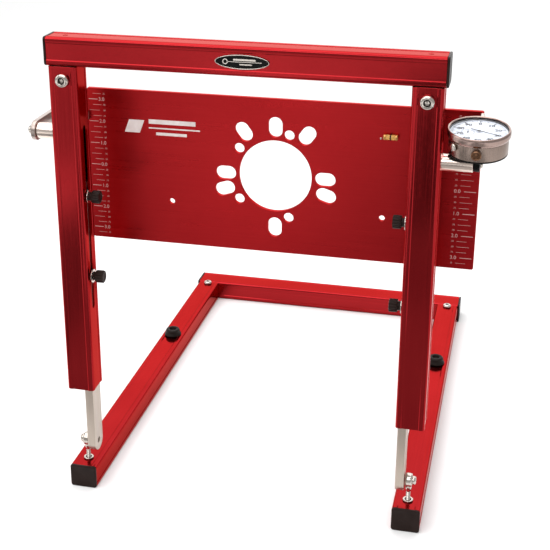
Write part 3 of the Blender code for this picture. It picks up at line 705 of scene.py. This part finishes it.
def build_knob(side, sign, level):
    """A fluted thumb knob on its washer, facing in from the upright."""
    node = f"thumb_knob_{side}_{level}"
    low, high = extent(node)
    centre = Vector(JOINTS[f"knob_{side}_{level}_turn"]["pos_m"])
    radius = (high.z - low.z) / 2
    washer_low, washer_high = extent(f"knob_washer_{side}_{level}")
    seat, end = (washer_high.x, high.x) if sign < 0 else (washer_low.x, low.x)
    out = -sign
    tall = abs(end - seat)
    depth = 0.035 * INCH
    bevel = 0.045 * INCH
    shoulder = 0.13 * INCH
    lobes = 12
    count = lobes * 8
    sections = [(circle(radius * 0.66, count), 0.02 * INCH), (circle(radius * 0.68, count), shoulder)]
    body = [(radius - bevel, depth * 0.5, shoulder)]
    body += [(radius - bevel * 0.3, depth * 0.8, shoulder + bevel * 0.3), (radius, depth, shoulder + bevel)]
    body.append((radius, depth, tall - bevel))
    body += [(radius - bevel * 0.3, depth * 0.8, tall - bevel * 0.3), (radius - bevel, depth * 0.5, tall)]
    sections += [(fluted(r, lobes, deep), t) for r, deep, t in body]
    sections += [(circle(radius * 0.55, count), tall), (circle(radius * 0.5, count), tall - 0.02 * INCH)]
    mesh = loft([(outline, out * t) for outline, t in sections], "X")
    piece(f"knob_{side}_{level}_grip", moved(mesh, Vector((seat, centre.y, centre.z))), "plastic", node)
    outlines = [circle((washer_high.z - washer_low.z) / 2), circle(0.125 * INCH, 48)]
    ring = slab(outlines, washer_low.x, washer_high.x, "X")
    mesh = moved(ring, Vector((0, centre.y, centre.z)))
    piece(f"knob_{side}_{level}_washer", mesh, "steel", f"knob_washer_{side}_{level}")


# Hub plate


def lettering(text, size, place, weight=0.0):
    """Raised generic lettering as a mesh: it reads along +X with +Y up before it is placed."""
    curve = bpy.data.curves.new("lettering", "FONT")
    curve.body = text
    curve.size = size
    curve.extrude = PRINT / 2
    curve.offset = weight
    curve.resolution_u = 3
    curve.align_x = "CENTER"
    curve.align_y = "CENTER"
    obj = bpy.data.objects.new("lettering", curve)
    bpy.context.scene.collection.objects.link(obj)
    bpy.context.view_layer.update()
    data = bpy.data.meshes.new_from_object(obj.evaluated_get(bpy.context.evaluated_depsgraph_get()))
    mesh = bmesh.new()
    mesh.from_mesh(data)
    bpy.data.meshes.remove(data)
    bpy.data.objects.remove(obj)
    bpy.data.curves.remove(curve)
    return moved(mesh, place)


def bar_mark(x0, x1, z, thick, y):
    """A printed line on the plate's face."""
    outline = [(x0, z - thick / 2), (x1, z - thick / 2), (x1, z + thick / 2), (x0, z + thick / 2)]
    return slab([outline], y - PRINT, y, "Y", PRINT * 0.2, 1)


def build_plate():
    low, high = extent("hub_plate")
    centre = (low + high) / 2
    hub = OPENINGS["hub_hole"]
    outline = rounded_box(high.x - low.x, high.z - low.z, 0.08 * INCH, 6, (centre.x, centre.z))
    holes = [circle(HUB_RADIUS, 128, (hub.x, hub.z))]
    for name, spot in OPENINGS.items():
        if name.startswith("lug_slot"):
            angle = math.radians(int(name.split("_")[-1]))
            holes.append(stadium(LUG_LENGTH, LUG_WIDTH, angle, (spot.x, spot.z)))
        elif name.startswith("stud_hole"):
            holes.append(circle(STUD_HOLE_RADIUS, 48, (spot.x, spot.z)))
        elif name.startswith("plate_hole"):
            holes.append(circle(SCREW_HOLE_RADIUS, 40, (spot.x, spot.z)))
    sheet = slab([outline, *holes], low.y, high.y, "Y", 0.014 * INCH)
    piece("hub_plate_sheet", sheet, "red_plate", "hub_plate", angle=20)
    build_rulers(low, high)
    build_emblem(hub, low.y)
    build_level(low.y)


def build_rulers(low, high):
    """Inch rulers up both edges of the plate, read from its middle, with quarters marked.

    Each has an edge and a way in from it, then distances in inches: to its labels, for an inch and for a
    part of one, and to both ends of its marks, for an inch, a quarter and a half.
    """
    middle_z = (low.z + high.z) / 2
    marks = []
    rulers = (
        (low.x, 1, (0.67, 0.78), ((0.08, 0.49), (0.27, 0.66), (0.11, 0.57))),
        (high.x, -1, (0.88, 0.95), ((0.1, 0.6), (0.35, 0.77), (0.235, 0.76))),
    )
    for edge, inward, labels, spans in rulers:
        for quarter in range(-13, 14):
            z = middle_z + quarter * INCH / 4
            part = abs(quarter) % 4
            ends = sorted(edge + inward * reach * INCH for reach in spans[(0, 1, 2, 1)[part]])
            marks.append(bar_mark(*ends, z, (0.014 if part else 0.028) * INCH, low.y))
            text = (f"{abs(quarter) // 4}.0", ".25", ".50", ".75")[part]
            size = (0.1 if part else 0.23) * INCH
            label = labels[1] if part else labels[0]
            spot = Matrix.Translation((edge + inward * label * INCH, low.y - PRINT / 2, z))
            marks.append(lettering(text, size, spot @ TO_FRONT))
    piece("plate_rulers", joined(*marks), "faint_paint", body=BODY_OF["hub_plate"])


def build_emblem(hub, face):
    """A plain printed emblem: a slanted block and three bars."""
    x, z = hub.x - 6.3 * INCH, hub.z + 1.85 * INCH
    corners = [(-0.5, -0.3), (0.2, -0.3), (0.42, 0.28), (-0.28, 0.28)]
    block = [(x + across * INCH, z + up * INCH) for across, up in corners]
    marks = [slab([block], face - PRINT, face, "Y", PRINT * 0.2, 1)]
    bars = ((0.62, 2.75, 0.24, 0.2), (0.62, 2.95, -0.05, 0.06), (0.95, 2.35, -0.3, 0.13))
    for first, last, rise, thick in bars:
        marks.append(bar_mark(x + first * INCH, x + last * INCH, z + rise * INCH, thick * INCH, face))
    piece("plate_emblem", joined(*marks), "paint", body=BODY_OF["hub_plate"])


def build_level(face):
    """A small spirit vial held by two clips, with a dark band round its middle, and a pin beside it."""
    low, high = extent("level_vial")
    centre = (low + high) / 2
    half = (high.x - low.x) / 2
    radius = (high.z - low.z) / 2
    tube_radius = radius * 0.86
    body = [(0, -half * 0.72), (tube_radius, -half * 0.72), (tube_radius, half * 0.72), (0, half * 0.72)]
    glass = lathe(filleted(body, radius * 0.3), "X", 40)
    piece("vial_tube", moved(glass, centre), "amber", "level_vial")
    ends = []
    for sign in (-1, 1):
        shell = [(0, half * 0.725), (radius, half * 0.55), (radius, half), (0, half)]
        ends.append(lathe([(r, sign * t) for r, t in filleted(shell, radius * 0.7, 6)], "X", 40))
    piece("vial_ends", moved(joined(*ends), centre), "brass", body=BODY_OF["hub_plate"])
    notch = half * 0.09
    outlines = [circle(radius * 0.93, 40), circle(tube_radius + 0.00005, 40)]
    collar = slab(outlines, -notch, notch, "X", 0.002 * INCH)
    piece("vial_band", moved(collar, centre), "black_steel_and_socket_shade", body=BODY_OF["hub_plate"])
    spot = Vector((centre.x - 0.42 * INCH, face, centre.z - 0.11 * INCH))
    head = 0.045 * INCH
    profile = [(0, 0), (head, 0), (head, 0.04 * INCH), (0, 0.06 * INCH)]
    pin = moved(lathe(filleted(profile, 0.01 * INCH), steps=24), Matrix.Translation(spot) @ TO_FRONT)
    piece("vial_pin", pin, "steel", body=BODY_OF["hub_plate"])


# Fixed contact and badge


def build_contact():
    """The fixed contact: a rod through the upright, a bar back from its end, a foot and an end screw."""
    centre = plain_rod("contact_rod_bar", "contact_rod")
    bar_low, bar_high = extent("contact_bar")
    half = (bar_high.z - bar_low.z) / 2
    outline = arc((centre.y, centre.z), half, math.pi / 2, 3 * math.pi / 2, 32)
    outline += [(bar_high.y, bar_low.z), (bar_high.y, bar_high.z)]
    bar = slab([outline], bar_low.x, bar_high.x, "X", 0.025 * INCH, 3)
    piece("contact_bar_strip", bar, "bar", "contact_bar")
    foot_low, foot_high = extent("contact_foot")
    outline = rounded_box(foot_high.x - foot_low.x, foot_high.z - foot_low.z, 0.1 * INCH)
    foot = slab([outline], foot_low.y, foot_high.y, "Y", 0.025 * INCH, 3)
    middle_foot = (foot_low + foot_high) / 2
    piece("contact_foot_strip", moved(foot, Vector((middle_foot.x, 0, middle_foot.z))), "bar", "contact_foot")
    low, high = extent("contact_screw")
    base = Vector((bar_low.x - GAP, centre.y, centre.z))
    screw("contact_screw", (high.z - low.z) / 2, base.x - low.x, 0.075 * INCH, to_side(-1), base)


def build_badge():
    """An oval badge: a dark plate with a bright rim, a small ring and three bars."""
    low, high = extent("badge")
    centre = (low + high) / 2
    half_width, half_height = (high.x - low.x) / 2, (high.z - low.z) / 2
    thick = high.y - low.y

    def oval(shrink):
        return [(u * (half_width - shrink), v * (half_height - shrink)) for u, v in circle(1, 96)]

    rim = 0.035 * INCH
    face = low.y + thick * 0.45
    spot = Vector((centre.x, 0, centre.z))
    back = loft([(oval(rim * 0.6), high.y), (oval(rim * 0.6), face)], "Y")
    piece("badge_plate", moved(back, spot), "enamel", "badge")
    marks = [slab([oval(0), oval(rim)], low.y, high.y, "Y", rim * 0.3, 3)]
    bars = ((-0.35, 0.55, 0.085, 0.07), (-0.6, 0.8, 0.0, 0.022), (-0.1, 0.4, -0.1, 0.045))
    ring_spot = (-0.68 * INCH, 0)
    outlines = [[circle(0.11 * INCH, 40, ring_spot), circle(0.075 * INCH, 40, ring_spot)]]
    for first, last, rise, tall in bars:
        bar_spot = ((first + last) / 2 * INCH, rise * INCH)
        outlines.append([rounded_box((last - first) * INCH, tall * INCH, 0.01 * INCH, 3, bar_spot)])
    marks += [slab(outline, face - PRINT * 2, face, "Y", PRINT * 0.4, 1) for outline in outlines]
    piece("badge_trim", moved(joined(*marks), spot), "steel", body=BODY_OF["badge"])


# Dial indicator, in axes whose Z is square to its face and whose origin is on the face's axis


def dial_place():
    normal = Vector(JOINTS["bezel_turn"]["axis"])
    right = Vector((1, 0, 0))
    turn = Matrix((right, normal.cross(right), normal)).transposed().to_4x4()
    return Matrix.Translation(JOINTS["bezel_turn"]["pos_m"]) @ turn


def build_dial():
    place = dial_place()
    build_dial_rod()
    build_case(place)
    build_stem(place)
    build_bezel(place)
    build_card(place)
    for node in ("pointer", "counter_hand"):
        build_hand(node, place)


def build_dial_rod():
    plain_rod("dial_rod_bar", "dial_rod")
    low, high = extent("lug_screw")
    pivot = Vector(JOINTS["dial_tilt"]["pos_m"])
    base = Vector((pivot.x + 0.125 * INCH + GAP, pivot.y, pivot.z))
    screw("lug_screw", (high.z - low.z) / 2, high.x - base.x, 0.07 * INCH, to_side(1), base)


def build_case(place):
    back_top = extent("dial_back", place)[1].z
    case_low, case_high = extent("dial_case", place)
    radius = (case_high.x - case_low.x) / 2
    pivot = place.inverted() @ Vector(JOINTS["dial_tilt"]["pos_m"])
    cover_low = pivot.z + 0.5 * INCH
    cover = [(0, cover_low), (radius - 0.02 * INCH, cover_low), (radius, cover_low + 0.02 * INCH)]
    cover += [(radius, back_top), (0, back_top)]
    half = 0.3 * INCH
    outline = arc((pivot.y, pivot.z), half, math.pi, 2 * math.pi, 32)
    outline += [(pivot.y + half, cover_low + 0.02 * INCH), (pivot.y - half, cover_low + 0.02 * INCH)]
    lug = slab([outline], -0.125 * INCH, 0.125 * INCH, "X", 0.025 * INCH, 3)
    cover_mesh = lathe(filleted(cover, 0.008 * INCH), steps=128)
    piece("dial_back_cover", moved(joined(cover_mesh, lug), place), "enamel", "dial_back")
    inner = radius - 0.07 * INCH
    wall = [(inner, case_low.z), (radius, case_low.z), (radius, case_high.z), (inner, case_high.z)]
    low, high = extent("spindle", place)
    bore_radius, bore_start = SPINDLE_RADIUS + GAP, low.y - 0.1 * INCH
    bore = [(0, bore_start), (bore_radius, bore_start), (bore_radius, high.y), (0, high.y)]
    bore = moved(lathe(bore, "Y", 40), Vector((0, 0, (low.z + high.z) / 2)))
    case = carved(lathe(filleted(wall, 0.015 * INCH), steps=128), bore)
    piece("dial_case_wall", moved(case, place), "chrome", "dial_case")
    low, high = extent("bezel_clamp", place)
    spot = (low + high) / 2
    angle = math.atan2(spot.y, spot.x)
    reach = spot.xy.length
    half_long = 0.06 * INCH
    head_radius = (high.z - low.z) / 2
    profile = [(0, -half_long), (head_radius * 0.8, -half_long), (head_radius, -half_long * 0.2)]
    profile += [(head_radius, half_long * 0.4), (head_radius * 0.75, half_long), (0, half_long)]
    clamp = moved(lathe(filleted(profile, 0.02 * INCH), "X", 48), Vector((reach, 0, spot.z)))
    slot = rounded_box(head_radius * 0.24, head_radius * 2.4, 0.01 * INCH, 2, (0, spot.z))
    notch = slab([slot], reach + half_long * 0.4, reach + half_long * 2, "X")
    clamp = carved(clamp, notch)
    piece("bezel_clamp_head", moved(clamp, place @ Matrix.Rotation(angle, 4, "Z")), "steel", "bezel_clamp")
    low, high = extent("dust_cap", place)
    spot = (low + high) / 2
    face, rear = low.y, -radius - 0.012 * INCH
    cap_radius = (high.x - low.x) / 2
    profile = [(0, rear), (cap_radius, rear), (cap_radius, face + 0.03 * INCH), (cap_radius * 0.78, face)]
    groove = face + 0.03 * INCH
    profile += [(cap_radius * 0.66, face), (cap_radius * 0.56, groove), (cap_radius * 0.4, groove)]
    profile += [(cap_radius * 0.3, face), (0, face)]
    cap_mesh = moved(lathe(filleted(profile, 0.008 * INCH), "Y", 64), Vector((0, 0, spot.z)))
    piece("dust_cap_turned", moved(cap_mesh, place), "bronze", "dust_cap")


def build_stem(place):
    low, high = extent("dial_stem", place)
    spot = (low + high) / 2
    radius = (high.x - low.x) / 2
    profile = [(radius * 0.55, low.y), (radius, low.y), (radius, high.y), (radius * 0.55, high.y)]
    stem = moved(lathe(filleted(profile, 0.02 * INCH), "Y", 64), Vector((0, 0, spot.z)))
    piece("dial_stem_sleeve", moved(stem, place), "chrome", "dial_stem")
    low, high = extent("spindle", place)
    spot = (low + high) / 2
    tip = (high.x - low.x) / 2
    ball = high.y - tip
    profile = [(0, low.y), (SPINDLE_RADIUS, low.y), (SPINDLE_RADIUS, ball - 0.16 * INCH)]
    profile.append((tip * 0.98, ball - 0.13 * INCH))
    profile += [(tip * 0.98, ball - 0.05 * INCH), (tip * 0.8, ball - 0.03 * INCH)]
    profile = filleted([*profile, (0, ball - 0.03 * INCH)], 0.01 * INCH)
    dome = [(0, ball - tip * 0.56), *arc((0, ball), tip, -0.6, math.pi / 2, 16)[:-1], (0, high.y)]
    mesh = joined(lathe(profile, "Y", 40), lathe(dome, "Y", 40))
    piece("spindle_rod", moved(moved(mesh, Vector((0, 0, spot.z))), place), "steel", "spindle")


def build_bezel(place):
    low, high = extent("dial_bezel", place)
    radius = (high.x - low.x) / 2
    glass_low, glass_high = extent("dial_glass", place)
    glass = (glass_high.x - glass_low.x) / 2
    wall = glass + GAP
    lip = glass_high.z + GAP
    band = low.z + (high.z - low.z) * 0.18
    profile = [(wall, low.z), (radius - 0.05 * INCH, low.z), (radius - 0.03 * INCH, band)]
    profile += [(radius, band + 0.03 * INCH), (radius, high.z - 0.09 * INCH), (radius - 0.035 * INCH, high.z)]
    profile += [(glass, high.z), (glass - 0.03 * INCH, lip), (wall, lip)]
    ring = lathe(filleted(profile, 0.02 * INCH), steps=144)
    piece("dial_bezel_ring", moved(ring, place), "bezel", "dial_bezel")
    disc = [(0, glass_low.z), (glass, glass_low.z), (glass, glass_high.z), (0, glass_high.z)]
    piece("dial_crystal", moved(lathe(filleted(disc, 0.01 * INCH), steps=128), place), "glass", "dial_glass")


def build_card(place):
    """The dial's card, with a dark rim that is painted shade under the bezel, a hundred divisions, their numbers,
    and a small counter.
    """
    low, high = extent("dial_face", place)
    radius = (high.x - low.x) / 2
    disc = [(0, low.z), (radius, low.z), (radius, high.z), (0, high.z)]
    piece("dial_card", moved(lathe(filleted(disc, 0.005 * INCH), steps=128), place), "face", "dial_face")
    top = high.z
    shown = radius - 0.04 * INCH
    under = extent("dial_glass", place)[0].z - GAP
    # A near-black ring from the card's edge up to the glass: painted shade under the bezel's lip
    outlines = [circle(radius - 0.002 * INCH, 128), circle(shown, 128)]
    marks = [slab(outlines, top, under, "Z", 0.002 * INCH, 1)]

    def tick(turn, outer, length, wide, centre=(0, 0)):
        inner, half = outer - length, wide / 2
        outline = [(inner, -half), (outer, -half), (outer, half), (inner, half)]
        mesh = slab([outline], top, top + PRINT, "Z", PRINT * 0.2, 1)
        return moved(mesh, Matrix.Translation((*centre, 0)) @ Matrix.Rotation(turn, 4, "Z"))

    edge = shown - 0.05 * INCH
    for i in range(100):
        length, wide = (0.08, 0.015)
        if i % 10 == 0:
            length, wide = (0.15, 0.045)
        elif i % 5 == 0:
            length, wide = (0.12, 0.025)
        marks.append(tick(math.pi / 2 - i * math.pi / 50, edge, length * INCH, wide * INCH))
    for i in range(10):
        turn = math.pi / 2 - i * math.pi / 5
        spot = Vector((math.cos(turn), math.sin(turn), 0)) * (edge - 0.3 * INCH)
        above = Matrix.Translation((spot.x, spot.y, top + PRINT / 2))
        marks.append(lettering(str(10 * i), 0.27 * INCH, above, 0.012 * INCH))
    counter = (place.inverted() @ Vector(JOINTS["counter_turn"]["pos_m"])).xy
    small = 0.26 * INCH
    outlines = [circle(small, 64, counter), circle(small - 0.012 * INCH, 64, counter)]
    marks.append(slab(outlines, top, top + PRINT, "Z", PRINT * 0.2, 1))
    for i in range(10):
        turn = math.pi / 2 - i * math.pi / 5
        marks.append(tick(turn, small - 0.012 * INCH, 0.05 * INCH, 0.01 * INCH, counter))
    piece("dial_print", moved(joined(*marks), place), "ink", body=BODY_OF["dial_face"])


def build_hand(node, place):
    """A slim hand with a boss and a thin tail."""
    low, high = extent(node, place)
    joint = JOINTS["pointer_turn" if node == "pointer" else "counter_turn"]
    pivot = (place.inverted() @ Vector(joint["pos_m"])).xy
    points = [(place.inverted() @ vertex.co).xy - pivot for vertex in frame["nodes"][node].data.vertices]
    far = max(points, key=lambda point: point.length)
    reach, turn = far.length, math.atan2(far.y, far.x)
    boss, tail = (0.065 * INCH, 0.36 * INCH) if node == "pointer" else (0.035 * INCH, 0.07 * INCH)
    half, tip = 0.014 * INCH, reach - 0.005 * INCH
    outline = [*arc((0, 0), boss, 0.5, math.pi - 0.4, 12), (-tail, half), (-tail, -half)]
    outline += [*arc((0, 0), boss, math.pi + 0.4, 2 * math.pi - 0.5, 12), (boss * 1.4, -boss * 0.3)]
    outline += [(tip, -0.01 * INCH), (tip, 0.01 * INCH), (boss * 1.4, boss * 0.3)]
    mesh = slab([outline], low.z, high.z, "Z", 0.003 * INCH, 1)
    mesh = moved(mesh, Matrix.Translation((*pivot, 0)) @ Matrix.Rotation(turn, 4, "Z"))
    piece(f"{node}_blade", moved(mesh, place), "ink", node)


# Floor, lights and camera


def build_stage():
    floor = bmesh.new()
    bmesh.ops.create_grid(floor, x_segments=24, y_segments=24, size=6.0)
    obj = placed_object("floor", floor)
    shade = Shade("pale_floor", None)
    shade.set(Base_Color=shade.mix(shade.noise(3, 2), (0.9, 0.9, 0.9), (0.93, 0.93, 0.93)), Roughness=0.8)
    shade.set(Specular_IOR_Level=0.1)
    obj.data.materials.append(shade.material)


def softbox(name, place, target, size, radiance):
    data = bpy.data.lights.new(name, "AREA")
    data.shape = "RECTANGLE"
    data.size, data.size_y = size
    data.energy = radiance * math.pi * size[0] * size[1]
    obj = bpy.data.objects.new(name, data)
    bpy.context.scene.collection.objects.link(obj)
    obj.location = place
    obj.rotation_euler = (Vector(target) - Vector(place)).to_track_quat("-Z", "Y").to_euler()
    obj.visible_camera = False


def build_lights():
    """A bright tent over and behind the object; in front of it the floor, and grey cards that paint dark
    reflections into its front.
    """
    world = bpy.data.worlds.new("studio")
    world.use_nodes = True
    world.node_tree.nodes["Background"].inputs["Color"].default_value = (1, 1, 1, 1)
    world.node_tree.nodes["Background"].inputs["Strength"].default_value = 0.5
    bpy.context.scene.world = world
    softbox("back_softbox", (0.0, 3.8, 1.5), (0, -0.3, 0.4), (8.0, 1.4), 1.18)
    softbox("high_softbox", (0.0, 3.6, 3.1), (0, -0.3, 0.3), (8.0, 1.8), 1.15)
    softbox("overhead_softbox", (-0.2, -0.3, 2.3), (-0.1, -0.3, 0.0), (2.6, 2.6), 2.4)
    softbox("left_softbox", (-2.0, -0.9, 1.3), (0, -0.4, 0.25), (1.4, 1.4), 1.5)
    softbox("front_softbox", (-0.5, -2.6, 1.9), (-0.4, -2.3, 0.0), (2.6, 1.5), 2.7)
    # Grey cards seen only in reflections: painted dark reflections in the uprights, plate and caps
    lay_painted_reflection_card("left_flag", (-1.0, -1.38), (-0.56, -0.7), 0.34)
    lay_painted_reflection_card("far_flag", (-1.1, -2.45), (-0.56, -1.7), 0.45)
    lay_painted_reflection_card("narrow_flag", (-0.56, -2.0), (-0.36, -0.7), 0.18)
    lay_painted_reflection_card("front_flag", (-0.36, -1.15), (0.6, -0.7), 0.34)
    lay_painted_reflection_card("near_flag", (-0.1, -1.5), (0.6, -1.15), 0.27)
    lay_painted_reflection_card("right_flag", (-0.04, -2.75), (0.36, -1.5), 0.08)


def lay_painted_reflection_card(name, low, high, tone):
    """A grey card laid on the floor in front, out of the picture, that only reflections show: a painted dark
    reflection.
    """
    outline = [low, (high[0], low[1]), high, (low[0], high[1])]
    card = placed_object(name, slab([outline], 0.002, 0.006))
    shade = Shade(name, None)
    grey = shade.mix(shade.noise(40, 3), (tone, tone, tone), (tone * 0.9, tone * 0.9, tone * 0.9))
    shade.set(Base_Color=grey, Roughness=0.9)
    card.data.materials.append(shade.material)
    card.visible_camera = card.visible_diffuse = card.visible_shadow = card.visible_transmission = False


def build_camera():
    data = bpy.data.cameras.new("camera")
    data.lens = 76.58
    data.sensor_width = 36
    data.shift_x = 0.0396
    data.shift_y = -0.088
    data.clip_end = 50
    camera = bpy.data.objects.new("camera", data)
    bpy.context.scene.collection.objects.link(camera)
    camera.location = (0.28146, -1.67821, 0.78475)
    camera.rotation_euler = (math.radians(90 - 21.006), 0, math.radians(13.494))
    bpy.context.scene.camera = camera
    bpy.context.scene.view_settings.view_transform = "Standard"


build_tubes()
build_fasteners()
for side, sign in SIDES:
    build_leg(side)
    build_pivot(side, sign)
    build_bumper(side)
    for level in ("lower", "upper"):
        build_knob(side, sign, level)
build_plate()
build_contact()
build_badge()
build_dial()
build_stage()
build_lights()
build_camera()
